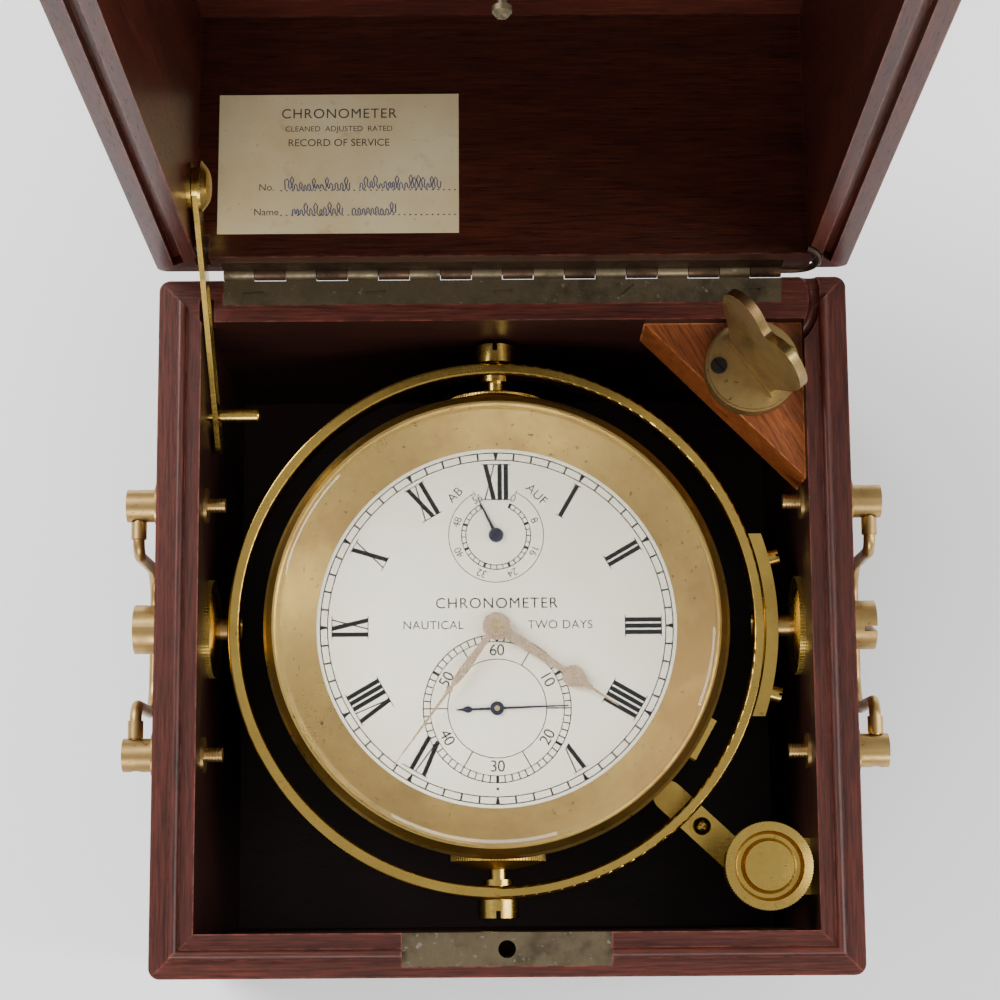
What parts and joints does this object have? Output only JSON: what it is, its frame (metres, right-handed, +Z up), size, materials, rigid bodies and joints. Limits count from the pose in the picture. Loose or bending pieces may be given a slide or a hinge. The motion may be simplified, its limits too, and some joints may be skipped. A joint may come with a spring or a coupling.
{
  "type": "marine chronometer",
  "caption": "Boxed marine chronometer: gimballed brass bowl with a silvered dial in a square mahogany case with a hinged lid.",
  "frame": {"origin": "middle of the case's underside", "axes": "+Z up, front (lock side) towards -Y, +X to the right"},
  "size_m": [0.2052, 0.278, 0.3076],
  "materials": {
    "mahogany": "satin",
    "light_mahogany": "satin",
    "tarnished_brass": "tarnished",
    "lacquered_brass": "polished",
    "movement_brass": "satin",
    "steel": "polished",
    "blued_steel": "blued",
    "rose_gold": "polished",
    "silvered_dial": "silvered",
    "glass": "clear",
    "paper": "matt"
  },
  "bodies": {
    "case": {"box_left": "mahogany", "box_right": "mahogany", "box_front": "mahogany", "box_back": "mahogany", "box_bottom": "mahogany", "hinge_leaf_box": "tarnished_brass", "case_screws": "tarnished_brass", "corner_block": "light_mahogany", "lock_case": "tarnished_brass", "escutcheon": "tarnished_brass", "stay_pin": "lacquered_brass", "handle_posts": "lacquered_brass", "gimbal_trunnions": "lacquered_brass", "gimbal_flanges": "lacquered_brass", "lock_bracket": "lacquered_brass"},
    "lid": {"lid_left": "mahogany", "lid_right": "mahogany", "lid_front": "mahogany", "lid_back": "mahogany", "lid_top": "mahogany", "hinge_leaf_lid": "tarnished_brass", "hinge_pin": "tarnished_brass", "lid_catch": "tarnished_brass", "service_label": "paper", "stay_stud": "lacquered_brass"},
    "stay": {"stay_arm": "lacquered_brass"},
    "lock_tongue": {"lock_bolt": "tarnished_brass"},
    "ring": {"gimbal_ring": "lacquered_brass", "pivot_block": "lacquered_brass", "ring_screws": "lacquered_brass"},
    "bowl": {"bowl_shell": "lacquered_brass", "bezel": "lacquered_brass", "crystal": "glass", "dial": "silvered_dial", "bowl_flanges": "lacquered_brass", "pillar_plate": "movement_brass", "back_plate": "movement_brass", "balance_cock": "movement_brass", "balance_spring": "steel"},
    "barrel": {"mainspring_barrel": "movement_brass"},
    "great": {"fusee": "movement_brass"},
    "centre": {"centre_wheel": "movement_brass", "minute_hand": "rose_gold"},
    "third": {"third_wheel": "movement_brass"},
    "fourth": {"fourth_wheel": "movement_brass", "seconds_hand": "blued_steel"},
    "escape": {"escape_wheel": "movement_brass"},
    "motion": {"minute_wheel": "movement_brass"},
    "hour": {"hour_wheel": "movement_brass", "hour_hand": "rose_gold"},
    "balance": {"balance_wheel": "movement_brass"},
    "detent_spring": {"detent": "steel"},
    "reserve": {"up_down_hand": "blued_steel"},
    "key": {"key_socket": "lacquered_brass"},
    "key_grip": {"key_bow": "lacquered_brass", "key_screw": "steel"},
    "left_bail": {"bail_left": "lacquered_brass"},
    "right_bail": {"bail_right": "lacquered_brass"},
    "gimbal_lock_arm": {"lock_arm": "lacquered_brass"},
    "gimbal_lock_knob": {"lock_knob": "lacquered_brass"}
  },
  "joints": [
    {"name": "lid_hinge", "type": "hinge", "parent": "case", "child": "lid", "pos_m": [0, 0.095, 0.12], "axis": [1, 0, 0], "range_deg": [0, 93.7]},
    {"name": "stay_pivot", "type": "hinge", "parent": "lid", "child": "stay", "pos_m": [-0.0795, 0.11047, 0.15006], "axis": [1, 0, 0], "range_deg": [-90, 90]},
    {"name": "lock_bolt_slide", "type": "slide", "parent": "case", "child": "lock_tongue", "axis": [1, 0, 0], "range_m": [0, 0.0024]},
    {"name": "ring_tilt", "type": "hinge", "parent": "case", "child": "ring", "pos_m": [-0.0022, 0.001, 0.093], "axis": [1, 0, 0], "range_deg": [-25, 25]},
    {"name": "bowl_tilt", "type": "hinge", "parent": "ring", "child": "bowl", "pos_m": [-0.0022, 0.001, 0.093], "axis": [0, 1, 0], "range_deg": [-180, 180]},
    {"name": "seconds_arbor", "type": "hinge", "parent": "bowl", "child": "fourth", "pos_m": [-0.0022, -0.0215, 0.093], "axis": [0, 0, 1], "continuous": true},
    {"name": "third_arbor", "type": "hinge", "parent": "bowl", "child": "third", "pos_m": [0.01164, -0.014, 0.093], "axis": [0, 0, 1], "continuous": true},
    {"name": "centre_arbor", "type": "hinge", "parent": "bowl", "child": "centre", "pos_m": [-0.0022, 0.001, 0.093], "axis": [0, 0, 1], "continuous": true},
    {"name": "fusee_arbor", "type": "hinge", "parent": "bowl", "child": "great", "pos_m": [-0.01725, 0.01907, 0.093], "axis": [0, 0, 1], "continuous": true},
    {"name": "barrel_arbor", "type": "hinge", "parent": "bowl", "child": "barrel", "pos_m": [0.0208, 0.018, 0.093], "axis": [0, 0, 1], "continuous": true},
    {"name": "escape_arbor", "type": "hinge", "parent": "bowl", "child": "escape", "pos_m": [-0.0147, -0.0266, 0.093], "axis": [0, 0, 1], "continuous": true},
    {"name": "motion_arbor", "type": "hinge", "parent": "bowl", "child": "motion", "pos_m": [0.0038, 0.001, 0.093], "axis": [0, 0, 1], "continuous": true},
    {"name": "hour_pipe", "type": "hinge", "parent": "bowl", "child": "hour", "pos_m": [-0.0022, 0.001, 0.093], "axis": [0, 0, 1], "continuous": true},
    {"name": "balance_staff", "type": "hinge", "parent": "bowl", "child": "balance", "pos_m": [-0.0202, -0.019, 0.093], "axis": [0, 0, 1], "range_deg": [-160, 160], "stiffness_Nm_per_rad": 0.00002},
    {"name": "detent_flex", "type": "hinge", "parent": "bowl", "child": "detent_spring", "pos_m": [-0.02564, -0.03574, 0.093], "axis": [0, 0, 1], "range_deg": [-3, 3], "stiffness_Nm_per_rad": 0.002},
    {"name": "reserve_arbor", "type": "hinge", "parent": "bowl", "child": "reserve", "pos_m": [-0.0022, 0.0265, 0.093], "axis": [0, 0, 1], "range_deg": [0, 308]},
    {"name": "key_lift", "type": "slide", "parent": "case", "child": "key", "axis": [0, 0, 1], "range_m": [0, 0.022]},
    {"name": "key_turn", "type": "hinge", "parent": "key", "child": "key_grip", "pos_m": [0.0673, 0.0683, 0.121], "axis": [0, 0, 1], "continuous": true},
    {"name": "left_bail_swing", "type": "hinge", "parent": "case", "child": "left_bail", "pos_m": [-0.09948, -0.0004, 0.106], "axis": [0, 1, 0], "range_deg": [0, 100]},
    {"name": "right_bail_swing", "type": "hinge", "parent": "case", "child": "right_bail", "pos_m": [0.09948, -0.0004, 0.106], "axis": [0, 1, 0], "range_deg": [-100, 0]},
    {"name": "gimbal_lock_swing", "type": "hinge", "parent": "case", "child": "gimbal_lock_arm", "pos_m": [0.0686, -0.0649, 0.06], "axis": [0, 0, 1], "range_deg": [-43, 0]},
    {"name": "gimbal_lock_screw", "type": "hinge", "parent": "case", "child": "gimbal_lock_knob", "pos_m": [0.0686, -0.0649, 0.1], "axis": [0, 0, 1], "continuous": true}
  ],
  "couplings": [
    {"joint": "stay_pivot", "follows": "lid_hinge", "ratio": -0.579},
    {"joint": "third_arbor", "follows": "seconds_arbor", "ratio": -0.125},
    {"joint": "centre_arbor", "follows": "seconds_arbor", "ratio": 0.016667},
    {"joint": "fusee_arbor", "follows": "seconds_arbor", "ratio": -0.002381},
    {"joint": "barrel_arbor", "follows": "seconds_arbor", "ratio": -0.0017857},
    {"joint": "escape_arbor", "follows": "seconds_arbor", "ratio": -8},
    {"joint": "motion_arbor", "follows": "seconds_arbor", "ratio": -0.0055556},
    {"joint": "hour_pipe", "follows": "seconds_arbor", "ratio": 0.0013889}
  ]
}
